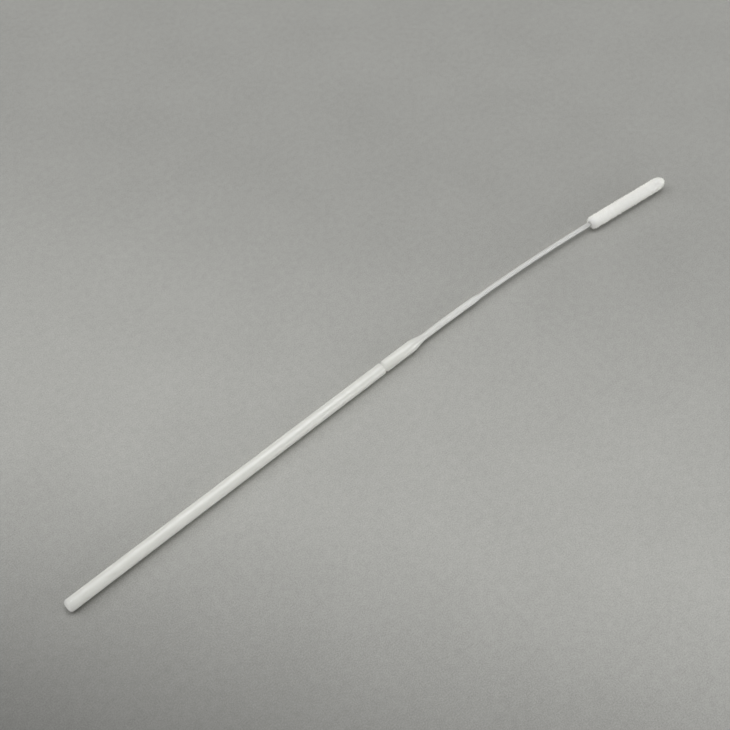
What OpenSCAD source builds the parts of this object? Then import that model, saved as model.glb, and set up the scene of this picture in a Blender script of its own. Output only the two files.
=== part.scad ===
// Flocked specimen swab with a snap-off handle, lying as it rests on a bench.
// The stick is one moulding: handle, break notch, stub, neck and thin shaft, with a core
// that carries the pile. It is straight from the butt to the neck, then bows sideways.
// It lies on its handle and on the root of its tip, so the bow leans up a few degrees.

/* [Handle] */
// Diameter of the handle
handle_d = 2.42; // [2:0.02:3]
// Length of the handle, from its butt to the break notch
handle_l = 71.2; // [50:0.1:100]
// Radius of the rounded edge at the butt
butt_edge_r = 0.7; // [0.1:0.05:0.8]

/* [Break notch] */
// Diameter of the web that is left at the bottom of the notch
web_d = 1.6; // [0.8:0.1:1.8]
// Width of the notch at its bottom
notch_w = 0.1; // [0.05:0.05:0.6]
// Radius of the handle's edge at the notch
shoulder_r = 0.25; // [0.05:0.05:0.5]
// Length of the slope from the bottom of the notch up to the stub
notch_slope_l = 0.5; // [0.2:0.05:1.5]

/* [Stub] */
// Diameter of the stub that stays on the tip's side when the handle is snapped off
stub_d = 2.4; // [2:0.02:2.8]
// Length of the stub, from the notch to its taper
stub_l = 7.6; // [3:0.1:15]
// Length of the taper from the stub down to the neck
stub_taper_l = 3.3; // [1:0.1:8]

/* [Neck] */
// Diameter of the neck
neck_d = 1.38; // [1.1:0.02:1.9]
// Length of the neck along its curve
neck_l = 13.8; // [6:0.2:30]
// Degrees that the neck has bowed
neck_turn = 2; // [0.5:0.1:8]
// Length of the taper from the neck down to the thin shaft
neck_taper_l = 2.3; // [0.5:0.1:6]

/* [Thin shaft] */
// Diameter of the thin shaft, which goes on as the core inside the tip
thin_d = 1.01; // [0.7:0.01:1.08]
// Length of the thin shaft along its curve, up to the tip
thin_l = 31.5; // [15:0.1:60]
// Degrees that the thin shaft has bowed
thin_turn = 4.3; // [1:0.1:15]

/* [Flocked tip] */
// Length of the tip, with its domed end
tip_l = 21.8; // [12:0.2:30]
// Diameter at the root of the tip
tip_root_d = 2.8; // [2.4:0.02:4]
// Diameter where the dome begins
tip_far_d = 2.72; // [2.2:0.02:4]
// How far the middle swells beyond a straight taper, on the radius
tip_swell = 0.03; // [0:0.005:0.3]
// Radius of the rounded shoulder at the root of the tip
tip_shoulder_r = 0.7; // [0.1:0.05:0.8]
// Length of the domed end
tip_dome_l = 2.4; // [1:0.1:4]
// Pile that stands beyond the end of the core
end_pile = 1.1; // [0.5:0.1:2]
// Adhesive film between the core and the pile
glue_film = 0.03; // [0.01:0.01:0.1]

/* [Hidden] */
$fn = 96;
arc_steps = 8;      // straight pieces in a rounded edge of the tip
swell_steps = 10;   // straight pieces along the tip's side

lip = 0.01;         // how far tapers and core stand proud of the bowed rods that they meet
lap = 0.2;          // how far they reach over those rods

handle_r = handle_d / 2;
web_r = web_d / 2;
stub_r = stub_d / 2;
neck_r = neck_d / 2;
core_r = thin_d / 2 + lip;
bore_r = core_r + glue_film;

stub_start = handle_l + notch_w;
stub_end = stub_start + stub_l;
neck_start = stub_end + stub_taper_l;

// The bow: two arcs that meet at the taper between neck and thin shaft
function arc_radius(length, turn) = length * 180 / (PI * turn);
neck_arc_r = arc_radius(neck_l, neck_turn);
thin_arc_r = arc_radius(thin_l, thin_turn);
tip_turn = neck_turn + thin_turn;

// Where the tip begins, along the handle's axis and out to the side
tip_x = neck_start + neck_arc_r * sin(neck_turn) + neck_taper_l * cos(neck_turn)
    + thin_arc_r * (sin(tip_turn) - sin(neck_turn));
tip_side = neck_arc_r * (1 - cos(neck_turn)) + neck_taper_l * sin(neck_turn)
    + thin_arc_r * (cos(neck_turn) - cos(tip_turn));

// Outline of the tip as [radius, distance from its root]
tip_root_r = tip_root_d / 2;
tip_far_r = tip_far_d / 2;
tip_side_l = tip_l - tip_dome_l - tip_shoulder_r;
function side_r(t) = tip_root_r + (tip_far_r - tip_root_r) * t + tip_swell * 4 * t * (1 - t);
tip_outline = concat(
    [for (i = [0 : arc_steps - 1]) let (a = 90 * i / arc_steps)
        [tip_root_r - tip_shoulder_r * (1 - sin(a)), tip_shoulder_r * (1 - cos(a))]],
    [for (i = [0 : swell_steps]) let (t = i / swell_steps)
        [side_r(t), tip_shoulder_r + tip_side_l * t]],
    [for (i = [1 : arc_steps]) let (a = 90 * i / arc_steps)
        [tip_far_r * cos(a), tip_l - tip_dome_l * (1 - sin(a))]]
);

// The core ends in a half ball, with pile beyond it
core_l = tip_l - end_pile - core_r;

// Lying down: the bow leans up until the fattest part near the tip's root meets the bench
function side_at(s) = tip_side + s * sin(tip_turn);
lean = asin(max([for (p = tip_outline) (p[0] - handle_r) / side_at(p[1])]));

// Half the footprint, so that the origin lies below the middle of it
y_facing = sqrt(1 - pow(sin(tip_turn) * cos(lean), 2));
x_high = max([for (p = tip_outline) tip_x + p[1] * cos(tip_turn) + p[0] * sin(tip_turn)]);
y_low = -max([for (p = tip_outline) side_at(p[1]) * cos(lean) + p[0] * y_facing]);
x_middle = x_high / 2;
y_middle = (handle_r + y_low) / 2;

// Half section of a round bar's plain length
module bar_section(r, start, end) {
    translate([0, start]) square([r, end - start]);
}

// Half section of a bar's end with a rounded edge, from its plain length out to the face
module rounded_end_section(r, edge, from, way) {
    translate([0, from]) mirror([0, way < 0 ? 1 : 0]) {
        square([r - edge, edge]);
        intersection() {
            translate([r - edge, 0]) circle(edge);
            square([r, edge]);
        }
    }
}

// Handle, notch, stub and first taper, which are straight
module straight_part() {
    rotate([0, 90, 0]) rotate_extrude() {
        rounded_end_section(handle_r, butt_edge_r, butt_edge_r, -1);
        bar_section(handle_r, butt_edge_r, handle_l - shoulder_r);
        rounded_end_section(handle_r, shoulder_r, handle_l - shoulder_r, 1);
        bar_section(web_r, handle_l - shoulder_r, stub_start);
        polygon([
            [0, stub_start], [web_r, stub_start], [stub_r, stub_start + notch_slope_l],
            [stub_r, stub_end], [0, stub_end]
        ]);
        translate([0, stub_end]) polygon([
            [0, 0], [stub_r, 0], [neck_r + lip, stub_taper_l],
            [neck_r + lip, stub_taper_l + lap], [0, stub_taper_l + lap]
        ]);
    }
}

// Taper from the neck to the thin shaft, with a short lap over each
module neck_taper() {
    rotate([0, 90, 0]) rotate_extrude() polygon([
        [0, -lap], [neck_r + lip, -lap], [neck_r + lip, 0], [core_r, neck_taper_l],
        [core_r, neck_taper_l + lap], [0, neck_taper_l + lap]
    ]);
}

// A bowed rod that starts along +X and turns towards -Y
module bowed_rod(d, arc_r, turn) {
    translate([0, -arc_r, 0]) rotate([0, 0, 90 - turn])
        rotate_extrude(angle = turn) translate([arc_r, 0]) circle(d = d);
}

// Moves its children to the end of a bowed rod
module after_bow(arc_r, turn) {
    translate([arc_r * sin(turn), -arc_r * (1 - cos(turn)), 0]) rotate([0, 0, -turn]) children();
}

// Moves its children to the root of the tip, along the tip's own axis
module at_tip() {
    translate([tip_x, -tip_side, 0]) rotate([0, 0, -tip_turn]) rotate([0, 90, 0]) children();
}

// Lays the finished swab down on the bench, over the origin
module laid_down() {
    translate([-x_middle, -y_middle, handle_r]) rotate([-lean, 0, 0]) children();
}

// The core, or with a larger radius its socket, from some way before the tip's root
module core(r, before) {
    translate([0, 0, -before]) cylinder(r = r, h = core_l + before);
    translate([0, 0, core_l]) sphere(r);
}

// The moulded stick with its core, one piece from butt to tip
module shaft() {
    color("white") laid_down() {
        straight_part();
        translate([neck_start, 0, 0]) {
            bowed_rod(neck_d, neck_arc_r, neck_turn);
            after_bow(neck_arc_r, neck_turn) {
                neck_taper();
                translate([neck_taper_l, 0, 0]) {
                    bowed_rod(thin_d, thin_arc_r, thin_turn);
                    after_bow(thin_arc_r, thin_turn) rotate([0, 90, 0]) core(core_r, lap);
                }
            }
        }
    }
}

// The sleeve of pile, closed by its dome, with a socket for the core
module flocked_tip() {
    color("whitesmoke") laid_down() at_tip() difference() {
        rotate_extrude() polygon(concat([[0, 0]], tip_outline));
        core(bore_r, 1);
    }
}

shaft();
flocked_tip();
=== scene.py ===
"""Flocked specimen swab: a moulded stick with a break notch and a bowed neck, and a tip of white pile.

Every piece is modelled straight along X from the butt, takes the stick's bow, and is then laid where
the CAD model lies. Lengths are in metres.
"""

import math

import bmesh
import bpy
from mathutils import Matrix, Vector


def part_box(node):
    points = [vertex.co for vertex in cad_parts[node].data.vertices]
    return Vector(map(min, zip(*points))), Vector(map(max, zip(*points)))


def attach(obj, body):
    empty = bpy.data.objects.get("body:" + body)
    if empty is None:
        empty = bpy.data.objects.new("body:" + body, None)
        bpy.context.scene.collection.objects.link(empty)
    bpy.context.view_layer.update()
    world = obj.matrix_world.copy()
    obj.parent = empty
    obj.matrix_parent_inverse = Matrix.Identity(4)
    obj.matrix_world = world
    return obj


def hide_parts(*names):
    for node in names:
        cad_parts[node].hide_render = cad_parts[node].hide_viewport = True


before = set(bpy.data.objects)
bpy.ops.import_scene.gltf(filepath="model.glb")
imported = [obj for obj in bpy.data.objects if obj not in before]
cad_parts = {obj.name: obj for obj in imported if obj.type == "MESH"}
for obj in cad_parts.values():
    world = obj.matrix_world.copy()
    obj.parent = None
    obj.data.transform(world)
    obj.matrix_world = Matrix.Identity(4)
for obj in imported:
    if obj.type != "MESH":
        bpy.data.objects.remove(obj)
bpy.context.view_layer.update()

MM = 0.001

# ---------------------------------------------------------------- the swab's own sizes

HANDLE_R = 1.21 * MM
HANDLE_L = 71.2 * MM
BUTT_EDGE = 0.7 * MM
WEB_R = 0.8 * MM
NOTCH_W = 0.1 * MM
NOTCH_SLOPE = 0.5 * MM
SHOULDER = 0.25 * MM
STUB_R = 1.2 * MM
STUB_L = 7.6 * MM
STUB_TAPER_L = 3.3 * MM
NECK_R = 0.69 * MM
NECK_L = 13.8 * MM
NECK_TURN = math.radians(2)
NECK_TAPER_L = 2.3 * MM
THIN_R = 0.505 * MM
THIN_L = 31.5 * MM
THIN_TURN = math.radians(4.3)
TIP_L = 21.8 * MM
TIP_ROOT_R = 1.4 * MM
TIP_FAR_R = 1.36 * MM
TIP_SWELL = 0.03 * MM
TIP_DOME = 2.4 * MM
END_PILE = 1.1 * MM
GLUE = 0.03 * MM
LEAN = math.radians(4.07004)  # the bow leans up until the tip's root meets the table

# Where each length begins, along the stick
NOTCH_X = HANDLE_L
STUB_X = NOTCH_X + NOTCH_W
STUB_TAPER_X = STUB_X + STUB_L
NECK_X = STUB_TAPER_X + STUB_TAPER_L
NECK_TAPER_X = NECK_X + NECK_L
THIN_X = NECK_TAPER_X + NECK_TAPER_L
TIP_X = THIN_X + THIN_L
END_X = TIP_X + TIP_L

# The middle of the butt, where the CAD model has it
shaft_low, shaft_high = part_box("shaft")
BUTT = Vector((shaft_low.x, shaft_high.y - HANDLE_R, HANDLE_R))

# ---------------------------------------------------------------- sizes of what the CAD model leaves out

BAR_SIDES = 72
BOW_STEPS = 24  # straight pieces in each length of the bow
RIDGE = 0.018 * MM  # the mould's parting line stands this far off the stick
RIDGE_TILT = math.radians(24)  # and runs this far round from level
# The gate mark in the butt's end face, from its middle outwards: millimetres deep, and radius
GATE_MARK = (
    (0.012, 0.08), (0.004, 0.13), (0.02, 0.17), (0.045, 0.2), (0.05, 0.36), (0.035, 0.42), (0.0, 0.47),
)

PILE_SIDES = 84
ROOT_STEPS, BODY_STEPS, DOME_STEPS = 10, 110, 16
FLARE = 0.25 * MM  # the pile's root creeps this far down the stick
ROOT_ROUND = 0.6 * MM  # and reaches its full thickness this far past it
LUMP = 0.05 * MM
LUMP_SIZE = 0.32 * MM
PILE_DEPTH = 0.19 * MM  # how far the fibres stand out of their bed
PILE_SHIFT = 0.13 * MM  # the pile sits this far off the stick's axis, towards the front
PRESSED_UNDER = 0.12 * MM  # pile lower than this is pressed down by the table
PRESSED_TO = 0.3  # to this share of its height
FIBRE_R = 0.015 * MM
FIBRE_L = 0.3 * MM
SPARSE = 0.4  # share of the fibres that grow where the pile's root begins
DRIFT_LEAN = 1.8  # radians over which the fibres' lean drifts from place to place
OWN_LEAN = 0.25  # radians that a fibre may lean by itself, each way

# ---------------------------------------------------------------- colours and tones, as seen, from 0 to 1

STICK_WHITES = (0.823, 0.826, 0.787), (0.85, 0.853, 0.814)
# Painted light: the neck and thin shaft are painted paler than the handle.
THIN_PAINTED_LIGHT = (0.9, 0.903, 0.865)
SCUFF_WHITE = (0.885, 0.885, 0.86)
BED_WHITES = (0.925, 0.925, 0.895), (0.985, 0.985, 0.955)
FIBRE_WHITES = (0.955, 0.955, 0.925), (0.995, 0.995, 0.965)
TABLE_GREYS = (0.596, 0.596, 0.579), (0.72, 0.72, 0.703)
BACKDROP_LIGHT = (0.386, 0.386, 0.366, 1.0)  # this one as light
# Painted shade on the table changes along this level direction.
PAINTED_SHADE_RUNS = (0.833, 0.553, 0)  # the table's tone changes along this level direction

# ---------------------------------------------------------------- tools for modelling


def deselect():
    if bpy.context.mode != "OBJECT":
        bpy.ops.object.mode_set(mode="OBJECT")
    bpy.ops.object.select_all(action="DESELECT")


def take(piece):
    """Makes a piece the only selected one, and the active one."""
    deselect()
    piece.select_set(True)
    bpy.context.view_layer.objects.active = piece


def pick(kind, wanted):
    """In edit mode, selects the verts, edges or faces for which wanted(middle, part) holds."""
    mesh = bmesh.from_edit_mesh(bpy.context.object.data)
    bpy.ops.mesh.select_all(action="DESELECT")
    bpy.context.tool_settings.mesh_select_mode = [kind == k for k in ("verts", "edges", "faces")]
    for part in getattr(mesh, kind):
        corners = [part] if kind == "verts" else part.verts
        middle = sum((v.co for v in corners), Vector()) / len(corners)
        if wanted(middle, part):
            part.select_set(True)
    mesh.select_flush_mode()
    bmesh.update_edit_mesh(bpy.context.object.data)


def finish_mesh():
    """In edit mode, turns every face outwards, puts the faces in order and goes back to object mode.

    Extruding leaves edges and faces in another order each run, and what grows on them goes by it.
    """
    bpy.ops.mesh.select_all(action="SELECT")
    bpy.ops.mesh.normals_make_consistent(inside=False)
    mesh = bmesh.from_edit_mesh(bpy.context.object.data)
    mesh.verts.index_update()
    for parts in (mesh.edges, mesh.faces):
        parts.sort(key=by_corners)
        parts.index_update()
    bmesh.update_edit_mesh(bpy.context.object.data)
    bpy.ops.object.mode_set(mode="OBJECT")


def by_corners(part):
    """A number that is the same each run for the same edge or face."""
    corners = [v.index for v in part.verts]
    return min(corners) * 1000000 + max(corners)


def modifier(piece, name, kind, **settings):
    """Adds one modifier, sets it and applies it."""
    take(piece)
    made = piece.modifiers.new(name, kind)
    for key, value in settings.items():
        setattr(made, key, value)
    bpy.ops.object.modifier_apply(modifier=made.name)


def smooth(piece, degrees):
    take(piece)
    bpy.ops.object.shade_smooth_by_angle(angle=math.radians(degrees))


# Stations are (place along X, radius) pairs, from which turned() makes a round piece


def arc(middle_x, middle_r, radius, start, end, steps):
    """Stations on a rounded corner. Angles are in degrees from +X towards outwards."""
    turns = [math.radians(start + (end - start) * i / steps) for i in range(steps + 1)]
    return [(middle_x + radius * math.cos(t), middle_r + radius * math.sin(t)) for t in turns]


def taper(x, r, length, far_r, steps, soft=0.75):
    """Stations down a taper. The softer it is, the more smoothly its ends run into the bars beside it."""
    made = []
    for i in range(steps + 1):
        t = i / steps
        eased = t * t * (3 - 2 * t)
        made.append((x + length * t, r + (far_r - r) * ((1 - soft) * t + soft * eased)))
    return made


def along(x, length, r, steps):
    """Stations down a bar of one thickness."""
    return [(x + length * i / steps, r) for i in range(steps + 1)]


def at_end(place, x):
    return abs(place.x - x) < 0.0001 * MM


def raise_parting_line(x, r, sides):
    """Lifts the end ring's two vertices in the mould's parting plane, then takes its face again."""
    across = Vector((0, math.cos(RIDGE_TILT), math.sin(RIDGE_TILT)))
    # Only the nearest vertex on each side lies further out than this
    limit = r * math.cos(math.pi / sides * 0.99)
    pick("verts", lambda at, v: at_end(at, x) and abs(at.dot(across)) > limit)
    grow = 1 + RIDGE / r
    bpy.ops.transform.resize(value=(1, grow, grow), center_override=(x, 0, 0))
    pick("faces", lambda at, f: at_end(at, x) and len(f.verts) == sides)


def turned(name, stations, sides, ridge_from=None):
    """A closed round piece, drawn out through its stations from one disc.

    The mould's parting line starts at the station at ridge_from, if one is given.
    """
    deselect()
    x, r = stations[0]
    bpy.ops.mesh.primitive_circle_add(
        vertices=sides, radius=r, fill_type="NGON", location=(x, 0, 0), rotation=(0, math.pi / 2, 0)
    )
    piece = bpy.context.object
    piece.name = piece.data.name = name
    bpy.ops.object.transform_apply(location=True, rotation=True, scale=True)
    bpy.ops.object.mode_set(mode="EDIT")
    pick("faces", lambda at, f: True)
    for next_x, next_r in stations[1:]:
        bpy.ops.mesh.extrude_region_move(TRANSFORM_OT_translate={"value": (next_x - x, 0, 0)})
        if not math.isclose(next_r, r):
            grow = next_r / r
            bpy.ops.transform.resize(value=(1, grow, grow), center_override=(next_x, 0, 0))
        x, r = next_x, next_r
        if x == ridge_from:
            raise_parting_line(x, r, sides)
    finish_mesh()
    return piece


def centre_line():
    """The stick's bow as a curve: straight, a gentle turn, straight, a tighter turn, and straight."""
    lengths = (
        (NECK_X, 0.0), (NECK_L, NECK_TURN), (NECK_TAPER_L, 0.0), (THIN_L, THIN_TURN), (TIP_L, 0.0),
    )
    at = Vector()
    heading = 0.0
    places = [at]
    for length, turn in lengths:
        for _ in range(BOW_STEPS):
            middle = heading + turn / BOW_STEPS / 2
            at = at + Vector((math.cos(middle), -math.sin(middle), 0)) * (length / BOW_STEPS)
            heading += turn / BOW_STEPS
            places.append(at)
    data = bpy.data.curves.new("centre_line", "CURVE")
    data.dimensions = "2D"
    data.use_radius = False
    spline = data.splines.new("POLY")
    spline.points.add(len(places) - 1)
    for point, place in zip(spline.points, places):
        point.co = (*place, 1)
    line = bpy.data.objects.new("centre_line", data)
    bpy.context.scene.collection.objects.link(line)
    return line


def lay_down(piece, line, forward=0.0):
    """Bows a straight piece along the centre line, leans the bow up and sets it where the stick lies."""
    modifier(piece, "bow", "CURVE", object=line, deform_axis="POS_X")
    piece.rotation_euler = (-LEAN, 0, 0)
    piece.location = BUTT + Vector((0, -forward, 0))
    bpy.ops.object.transform_apply(location=True, rotation=True, scale=True)


def press_under(piece):
    """Squeezes together the pile that the tip lies on, so that none of it goes through the table."""
    take(piece)
    bpy.ops.object.mode_set(mode="EDIT")
    pick("verts", lambda at, v: at.z < PRESSED_UNDER)
    bpy.ops.transform.resize(value=(1, 1, PRESSED_TO), center_override=(0, 0, PRESSED_UNDER))
    bpy.ops.object.mode_set(mode="OBJECT")


# ---------------------------------------------------------------- shader and node maths


class Socket:
    """One output in a node tree. Arithmetic on it adds Math nodes, and node() adds any other kind."""

    def __init__(self, tree, output=None):
        self.tree, self.output = tree, output

    def node(self, kind, settings=None, sockets=None, out=0):
        """Adds a node, sets it, then fills its sockets with values or links, and gives one output."""
        made = self.tree.nodes.new(kind)
        for key, value in (settings or {}).items():
            setattr(made, key, value)
        for key, value in (sockets or {}).items():
            if isinstance(value, Socket):
                self.tree.links.new(value.output, made.inputs[key])
            else:
                made.inputs[key].default_value = value
        return Socket(self.tree, made.outputs[out] if len(made.outputs) else None)

    def maths(self, operation, *values):
        return self.node("ShaderNodeMath", {"operation": operation}, dict(enumerate(values)))

    def vector_maths(self, operation, *values, out="Vector"):
        return self.node("ShaderNodeVectorMath", {"operation": operation}, dict(enumerate(values)), out)

    def __add__(self, other):
        return self.maths("ADD", self, other)

    def __mul__(self, other):
        return self.maths("MULTIPLY", self, other)

    def __sub__(self, other):
        return self.maths("SUBTRACT", self, other)

    def __rsub__(self, other):
        return self.maths("SUBTRACT", other, self)

    __radd__ = __add__
    __rmul__ = __mul__

    def between(self, low, high):
        """0 below low, 1 above high, and smooth in between."""
        return self.node(
            "ShaderNodeMapRange",
            {"interpolation_type": "SMOOTHSTEP"},
            {"Value": self, "From Min": low, "From Max": high, "To Min": 0.0, "To Max": 1.0},
        )

    def part(self, axis):
        """One of a place's X, Y and Z."""
        return self.node("ShaderNodeSeparateXYZ", None, {0: self}, out=axis)

    def feed(self, target):
        self.tree.links.new(self.output, target)


def linear(colour):
    """A colour as seen, from 0 to 1, as light."""
    return tuple(c / 12.92 if c <= 0.04045 else ((c + 0.055) / 1.055) ** 2.4 for c in colour) + (1.0,)


def new_material(name):
    """A new material, its Principled shader, its tree, and the place on the piece."""
    made = bpy.data.materials.new(name)
    made.use_nodes = True
    shader = made.node_tree.nodes["Principled BSDF"]
    tree = Socket(made.node_tree)
    return made, shader, tree, tree.node("ShaderNodeTexCoord", out="Object")


def noise(at, scale, detail, rough=0.5, stretch=None, out="Fac"):
    if stretch:
        at = at.node("ShaderNodeMapping", None, {"Vector": at, "Scale": stretch})
    recipe = {"Vector": at, "Scale": scale, "Detail": detail, "Roughness": rough}
    return at.node("ShaderNodeTexNoise", None, recipe, out)


def mixed(tree, share, a, b, blend="MIX"):
    """Two colours mixed. 6, 7 and 2 are the Mix node's own numbers for its colours."""
    return tree.node(
        "ShaderNodeMix", {"data_type": "RGBA", "blend_type": blend}, {0: share, 6: a, 7: b}, out=2
    )


def bump(shader, height, strength, distance):
    recipe = {"Strength": strength, "Distance": distance, "Height": height}
    height.node("ShaderNodeBump", None, recipe, out="Normal").feed(shader.inputs["Normal"])


def let_light_in(shader, reach, forward=0.0):
    """Light spreads as far as reach inside the piece, and turns less on its way the higher forward is."""
    shader.inputs["Subsurface Weight"].default_value = 1.0
    shader.inputs["Subsurface Radius"].default_value = (1.0, 1.0, 1.0)
    shader.inputs["Subsurface Scale"].default_value = reach
    shader.inputs["Subsurface Anisotropy"].default_value = forward


def soft_sheen(shader):
    shader.inputs["Sheen Weight"].default_value = 1.0
    shader.inputs["Sheen Roughness"].default_value = 1.0


# ---------------------------------------------------------------- the finishes


def moulded_plastic():
    """Satin white moulded plastic, a little translucent, with drawn-out flow marks and light scuffs.

    It is painted paler towards the neck and the thin shaft, as painted light.
    """
    made, shader, tree, at = new_material("moulded_white_plastic")
    flow = noise(at, 900, detail=3, rough=0.55, stretch=(0.06, 1, 1))
    cloud = noise(at, 260, detail=3, rough=0.6)
    scuff = noise(at, 2600, detail=4, rough=0.7, stretch=(0.25, 1, 1))
    scratches = scuff.between(0.6, 0.72) * noise(at, 120, detail=2).between(0.45, 0.7)
    tone = flow * 0.6 + cloud * 0.4
    # Painted light: paler from the neck onwards.
    narrow_painted_light = at.part("X").between(BUTT.x + NECK_X, BUTT.x + THIN_X)
    colour = mixed(tree, tone.between(0.3, 0.7), *map(linear, STICK_WHITES))
    colour = mixed(tree, scratches * 0.25, colour, linear(SCUFF_WHITE))
    colour = mixed(tree, narrow_painted_light, colour, linear(THIN_PAINTED_LIGHT))
    colour.feed(shader.inputs["Base Color"])
    (0.18 + cloud * 0.1 + scratches * 0.18).feed(shader.inputs["Roughness"])
    waviness = noise(at, 330, detail=2, stretch=(0.35, 1, 1))
    skin = noise(at, 5200, detail=3, rough=0.6)
    height = waviness * 0.6 + skin * 0.12 + scratches * 0.1
    bump(shader, height, strength=0.18, distance=0.06 * MM)
    shader.inputs["IOR"].default_value = 1.54
    let_light_in(shader, reach=12 * MM, forward=0.8)
    return made


def packed_pile():
    """What shows between the fibres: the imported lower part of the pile, through which light spreads."""
    made, shader, tree, at = new_material("packed_pile")
    tufts = noise(at, 4200, detail=3, rough=0.65)
    clumps = noise(at, 1100, detail=3, rough=0.6)
    depth = tufts * 0.65 + clumps * 0.35
    mixed(tree, depth.between(0.35, 0.6), *map(linear, BED_WHITES)).feed(shader.inputs["Base Color"])
    (0.78 + clumps * 0.15).feed(shader.inputs["Roughness"])
    bump(shader, depth, strength=0.5, distance=0.05 * MM)
    let_light_in(shader, reach=4 * MM)
    soft_sheen(shader)
    return made


def nylon_fibre():
    """Matte white nylon fibre, each a little different."""
    made, shader, tree, at = new_material("nylon_fibre")
    clumps = noise(at, 1100, detail=3, rough=0.6)
    each = noise(at, 14000, detail=1)
    tone = clumps * 0.5 + each * 0.5
    mixed(tree, tone.between(0.35, 0.62), *map(linear, FIBRE_WHITES)).feed(shader.inputs["Base Color"])
    (0.55 + each * 0.2).feed(shader.inputs["Roughness"])
    soft_sheen(shader)
    return made


def table_top():
    """The plain pale grey table: fine grain, and painted shade that darkens it softly towards the far
    side and in a band on the near side.

    Far from the swab it runs into the backdrop, so that no edge or horizon shows.
    """
    made, shader, tree, at = new_material("table_top")
    grain = noise(at, 4200, detail=2, rough=0.7)
    mottle = noise(at, 700, detail=3, rough=0.6)
    patches = noise(at, 60, detail=3)
    tone = grain * 0.7 + mottle * 0.2 + patches * 0.1
    colour = mixed(tree, tone.between(0.25, 0.75), *map(linear, TABLE_GREYS))
    ahead = tree.vector_maths("DOT_PRODUCT", at, PAINTED_SHADE_RUNS, out="Value")
    # Painted shade: darkens the table's colour softly towards the far side, and in a band on the near
    # side.
    far_painted_shade = 1 - ahead.between(-26 * MM, 53 * MM) * 0.19
    near_shade_band = (1 - ahead.between(-105 * MM, -29 * MM)) * ahead.between(-170 * MM, -90 * MM)
    near_painted_shade = 1 - near_shade_band * 0.7
    colour = mixed(tree, 1.0, colour, far_painted_shade * near_painted_shade, "MULTIPLY")
    colour.feed(shader.inputs["Base Color"])
    (0.62 + grain * 0.15).feed(shader.inputs["Roughness"])
    bump(shader, grain, strength=0.15, distance=0.03 * MM)
    shader.inputs["Specular IOR Level"].default_value = 0.3
    far_off = tree.vector_maths("LENGTH", at, out="Value").between(170 * MM, 400 * MM)
    seen = tree.node("ShaderNodeLightPath", out="Is Camera Ray")
    glow = tree.node("ShaderNodeEmission", None, {"Color": BACKDROP_LIGHT})
    surface = Socket(made.node_tree, shader.outputs["BSDF"])
    shown = tree.node("ShaderNodeMixShader", None, {0: far_off * seen, 1: surface, 2: glow})
    shown.feed(made.node_tree.nodes["Material Output"].inputs["Surface"])
    return made


# ---------------------------------------------------------------- the pieces


def stick():
    """The one-piece moulded stick, from its butt to the hidden core inside the pile."""
    plain_x = BUTT_EDGE * 1.2  # the handle's plain length and the parting line begin here
    plain_l = HANDLE_L - SHOULDER - plain_x
    stations = [(deep * MM, r * MM) for deep, r in GATE_MARK]
    stations += arc(BUTT_EDGE, HANDLE_R - BUTT_EDGE, BUTT_EDGE, 180, 90, 9)
    stations += along(plain_x, plain_l, HANDLE_R, 12)
    stations += arc(NOTCH_X - SHOULDER, HANDLE_R - SHOULDER, SHOULDER, 90, 0, 8)[1:]
    stations += [(NOTCH_X, WEB_R), (STUB_X, WEB_R)]
    stations += taper(STUB_X, WEB_R, NOTCH_SLOPE, STUB_R, 6, soft=0.4)[1:]
    stations += taper(STUB_TAPER_X, STUB_R, STUB_TAPER_L, NECK_R, 14)
    stations += along(NECK_X, NECK_L, NECK_R, 8)[1:]
    stations += taper(NECK_TAPER_X, NECK_R, NECK_TAPER_L, THIN_R, 8)[1:]
    stations += along(THIN_X, THIN_L, THIN_R, 20)[1:]
    stations += along(TIP_X, TIP_L - END_PILE, THIN_R, 2)[1:]
    piece = turned("moulded_stick", stations, BAR_SIDES, ridge_from=plain_x)
    smooth(piece, 35)
    return piece


def tip_radius(x):
    """The pile's outer radius at a place along the tip, before its rounded ends."""
    t = (x - TIP_X) / TIP_L
    return TIP_ROOT_R + (TIP_FAR_R - TIP_ROOT_R) * t + TIP_SWELL * 4 * t * (1 - t)


def bed():
    """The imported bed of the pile: rounded ends, a lumpy surface, and a blind socket for the core."""
    socket_r = THIN_R + GLUE
    root_rise = TIP_ROOT_R - PILE_DEPTH - socket_r
    stations = [(END_X - END_PILE + GLUE, socket_r)]
    for i in range(ROOT_STEPS + 1):
        t = i / ROOT_STEPS
        turn = math.radians(90 * t)
        x = TIP_X - FLARE + (ROOT_ROUND + FLARE) * (1 - math.cos(turn))
        stations.append((x, socket_r + root_rise * (0.4 * math.sin(turn) + 0.6 * t)))
    body_x, dome_x = stations[-1][0], END_X - TIP_DOME
    for i in range(1, BODY_STEPS + 1):
        x = body_x + (dome_x - body_x) * i / BODY_STEPS
        stations.append((x, tip_radius(x) - PILE_DEPTH))
    dome_r = stations[-1][1]
    dome_l = END_X - PILE_DEPTH - dome_x
    for i in range(1, DOME_STEPS):
        turn = math.radians(90 * i / DOME_STEPS)
        stations.append((dome_x + dome_l * math.sin(turn), dome_r * math.cos(turn)))
    piece = turned("pile_bed", stations, PILE_SIDES)
    add_lumps(piece, [v.index for v in piece.data.vertices if v.co.yz.length > socket_r * 1.25])
    smooth(piece, 50)
    return piece


def add_lumps(piece, where):
    """Makes these vertices' part of a piece gently lumpy."""
    lumps = bpy.data.textures.new("pile_lumps", "CLOUDS")
    lumps.noise_scale = LUMP_SIZE
    lumps.noise_depth = 2
    piece.vertex_groups.new(name="outer").add(where, 1.0, "REPLACE")
    modifier(
        piece, "lumps", "DISPLACE", texture=lumps, strength=LUMP, mid_level=0.5, texture_coords="LOCAL",
        vertex_group="outer",
    )
    piece.vertex_groups.clear()


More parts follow.
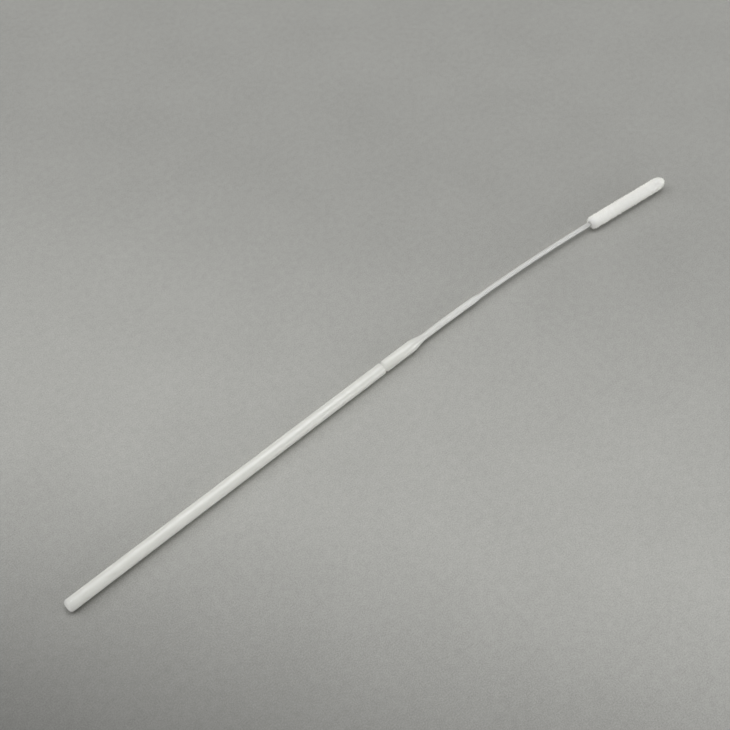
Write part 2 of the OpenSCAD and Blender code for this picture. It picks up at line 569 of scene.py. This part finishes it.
def fibre():
    """One short cut fibre, slightly bent, standing on the origin."""
    half = FIBRE_L / 2
    bend = FIBRE_L * 0.08
    deselect()
    bpy.ops.mesh.primitive_cone_add(
        vertices=3, radius1=FIBRE_R, radius2=FIBRE_R * 0.95, depth=half, end_fill_type="NGON",
        location=(0, 0, half / 2),
    )
    piece = bpy.context.object
    piece.name = piece.data.name = "one_fibre"
    bpy.ops.object.transform_apply(location=True, rotation=True, scale=True)
    bpy.ops.object.mode_set(mode="EDIT")
    pick("faces", lambda at, f: f.normal.z > 0.9)
    bpy.ops.mesh.extrude_region_move(TRANSFORM_OT_translate={"value": (bend, 0, half)})
    bpy.ops.transform.resize(value=(0.8, 0.8, 1), center_override=(bend, 0, FIBRE_L))
    finish_mesh()
    return piece


def new_planting(name):
    """A new Geometry Nodes tree, and the surface that comes into it."""
    group = bpy.data.node_groups.new(name, "GeometryNodeTree")
    group.interface.new_socket("Geometry", in_out="INPUT", socket_type="NodeSocketGeometry")
    group.interface.new_socket("Geometry", in_out="OUTPUT", socket_type="NodeSocketGeometry")
    tree = Socket(group)
    return group, tree, tree.node("NodeGroupInput")


def rooted(tree, ground, at, per_mm2, seed):
    """Points where fibres stand, all over the bed's outside but sparser at its root, and their turn."""
    off_axis = tree.vector_maths("MULTIPLY", at, (0, 1, 1))
    radius = tree.vector_maths("LENGTH", off_axis, out="Value")
    x = at.part("X")
    outside_socket = tree.maths(
        "MAXIMUM",
        tree.maths("GREATER_THAN", radius, THIN_R + GLUE + 0.01 * MM),
        tree.maths("GREATER_THAN", x, END_X - END_PILE + 2 * GLUE),
    )
    share = SPARSE + x.between(TIP_X - FLARE, TIP_X + ROOT_ROUND) * (1 - SPARSE)
    density = share * (per_mm2 / MM**2)
    points = tree.node(
        "GeometryNodeDistributePointsOnFaces", {"distribute_method": "RANDOM"},
        {"Mesh": ground, "Selection": outside_socket, "Density": density, "Seed": seed}, out="Points",
    )
    return points, Socket(tree.tree, points.output.node.outputs["Rotation"])


def leaning(tree, at, upright, seed):
    """Turns fibres round themselves and leans them, by a drift over the surface and each by itself."""
    drift = noise(at, 1400, detail=2, out="Color")
    lean = tree.vector_maths("SUBTRACT", drift, (0.5, 0.5, 0.5))
    lean = tree.vector_maths("MULTIPLY", lean, (DRIFT_LEAN, DRIFT_LEAN, 0.0))
    least, most = (-OWN_LEAN, -OWN_LEAN, 0.0), (OWN_LEAN, OWN_LEAN, math.tau)
    own = tree.node(
        "FunctionNodeRandomValue", {"data_type": "FLOAT_VECTOR"},
        {"Min": least, "Max": most, "Seed": seed}, out="Value",
    )
    tilt = tree.node("FunctionNodeEulerToRotation", None, {0: tree.vector_maths("ADD", lean, own)})
    return tree.node("FunctionNodeRotateRotation", {"rotation_space": "LOCAL"}, {0: upright, 1: tilt})


def flock(name, under, one, per_mm2, seed, length):
    """Fibres standing on a piece's outside, each between two shares of the one fibre's length.

    2, 3 and 1 are the Random Value node's own numbers for plain values.
    """
    piece = under.copy()
    piece.data = under.data.copy()
    piece.name = piece.data.name = name
    bpy.context.scene.collection.objects.link(piece)
    group, tree, ground = new_planting(name + "_planting")
    at = tree.node("GeometryNodeInputPosition")
    points, upright = rooted(tree, ground, at, per_mm2, seed)
    rotation = leaning(tree, at, upright, seed + 1)
    tall = tree.node(
        "FunctionNodeRandomValue", {"data_type": "FLOAT"},
        {2: length[0], 3: length[1], "Seed": seed + 2}, out=1,
    )
    size = tree.node("ShaderNodeCombineXYZ", None, {0: 1.0, 1: 1.0, 2: tall})
    shape = tree.node(
        "GeometryNodeObjectInfo", {"transform_space": "ORIGINAL"}, {"Object": one}, out="Geometry"
    )
    planted = tree.node(
        "GeometryNodeInstanceOnPoints", None,
        {"Points": points, "Instance": shape, "Rotation": rotation, "Scale": size},
    )
    tree.node("NodeGroupOutput", None, {0: tree.node("GeometryNodeRealizeInstances", None, {0: planted})})
    modifier(piece, "planting", "NODES", node_group=group)
    return piece


def finish_piece(piece, material, node=None):
    piece.data.materials.clear()
    piece.data.materials.append(material)
    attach(piece, "root")
    if node:
        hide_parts(node)


# ---------------------------------------------------------------- table, light and camera


def lay_table():
    deselect()
    bpy.ops.mesh.primitive_plane_add(size=3.0, location=(0, 0, 0))
    table = bpy.context.object
    table.name = "table"
    table.data.materials.append(table_top())


def hang_backdrop():
    """An even grey all round, which is seen but lights nothing."""
    world = bpy.data.worlds.new("room")
    bpy.context.scene.world = world
    world.use_nodes = True
    backdrop = world.node_tree.nodes["Background"]
    backdrop.inputs["Color"].default_value = BACKDROP_LIGHT
    seen = Socket(world.node_tree).node("ShaderNodeLightPath", out="Is Camera Ray")
    seen.feed(backdrop.inputs["Strength"])


def soft_lamp(name, towards, away, size, level, heading=0.0):
    """A soft rectangular lamp that faces the swab.

    level is how bright it makes a white surface that faces it, and 1 is full white. Its first side
    runs along heading, in degrees round from +X.
    """
    direction = Vector(towards).normalized()
    bpy.ops.object.light_add(type="AREA")
    lamp = bpy.context.object
    lamp.name = name
    lamp.data.shape = "RECTANGLE"
    lamp.data.size, lamp.data.size_y = size
    lamp.data.energy = level * math.pi**2 * away**2
    lamp.visible_camera = False
    level_line = Vector((math.cos(math.radians(heading)), math.sin(math.radians(heading)), 0))
    across = (level_line - direction * level_line.dot(direction)).normalized()
    facing = Matrix((across, direction.cross(across), direction)).transposed()
    lamp.matrix_world = Matrix.Translation(direction * away) @ facing.to_4x4()


def set_camera(aim, heading, down, away, lens):
    """Looks at aim from some way away, along a level heading and degrees down. The lens is in mm."""
    pitch = math.radians(down)
    looks = Vector((heading.x * math.cos(pitch), heading.y * math.cos(pitch), -math.sin(pitch)))
    bpy.ops.object.camera_add(location=aim - looks * away)
    camera = bpy.context.object
    camera.rotation_mode = "QUATERNION"
    camera.rotation_quaternion = looks.to_track_quat("-Z", "Y")
    camera.data.lens = lens
    camera.data.sensor_width = 36
    camera.data.clip_start = 5 * MM
    bpy.context.scene.camera = camera


# ---------------------------------------------------------------- making it

line = centre_line()
made_stick = stick()
made_bed = bed()
one = fibre()
short_fibres = flock("pile_fibres_short", made_bed, one, per_mm2=60, seed=11, length=(0.5, 0.85))
long_fibres = flock("pile_fibres_long", made_bed, one, per_mm2=30, seed=47, length=(0.8, 1.35))
bpy.data.objects.remove(one)
lay_down(made_stick, line)
for piece in (made_bed, short_fibres, long_fibres):
    lay_down(piece, line, forward=PILE_SHIFT)
    press_under(piece)
bpy.data.objects.remove(line)

plastic, packed, nylon = moulded_plastic(), packed_pile(), nylon_fibre()
finish_piece(made_stick, plastic, node="shaft")
finish_piece(made_bed, packed, node="flocked_tip")
finish_piece(short_fibres, nylon)
finish_piece(long_fibres, nylon)
# The CAD model's own nodes take the plastic too
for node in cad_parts.values():
    for slot in node.material_slots:
        slot.material = plastic

lay_table()
hang_backdrop()
bpy.context.scene.view_settings.view_transform = "Standard"
soft_lamp("ceiling_panel", (0.25, 0.1, 0.96), away=1.5, size=(1.2, 0.75), level=0.56, heading=-45)
soft_lamp("back_window", (0.1, 0.6, 0.79), away=1.8, size=(2.4, 1.6), level=0.19)
soft_lamp("left_window", (-0.5, 0.55, 0.67), away=1.8, size=(1.0, 1.2), level=0.42)
soft_lamp("front_window", (0.1, -0.5, 0.86), away=1.8, size=(1.2, 1.0), level=0.085)
soft_lamp("far_card", (0.1, 0.98, 0.12), away=1.8, size=(1.8, 0.36), level=0.1)
soft_lamp("left_card", (-0.6, -0.8, 0.12), away=1.8, size=(1.8, 0.36), level=0.235, heading=-37)
soft_lamp("right_card", (0.6, -0.76, 0.22), away=0.5, size=(0.5, 0.22), level=0.44, heading=38)
set_camera(
    aim=Vector((-6.47, 5.225, 1.21)) * MM, heading=Vector((0.6693, 0.743, 0)), down=56.38,
    away=184.5 * MM, lens=46.85,
)
deselect()
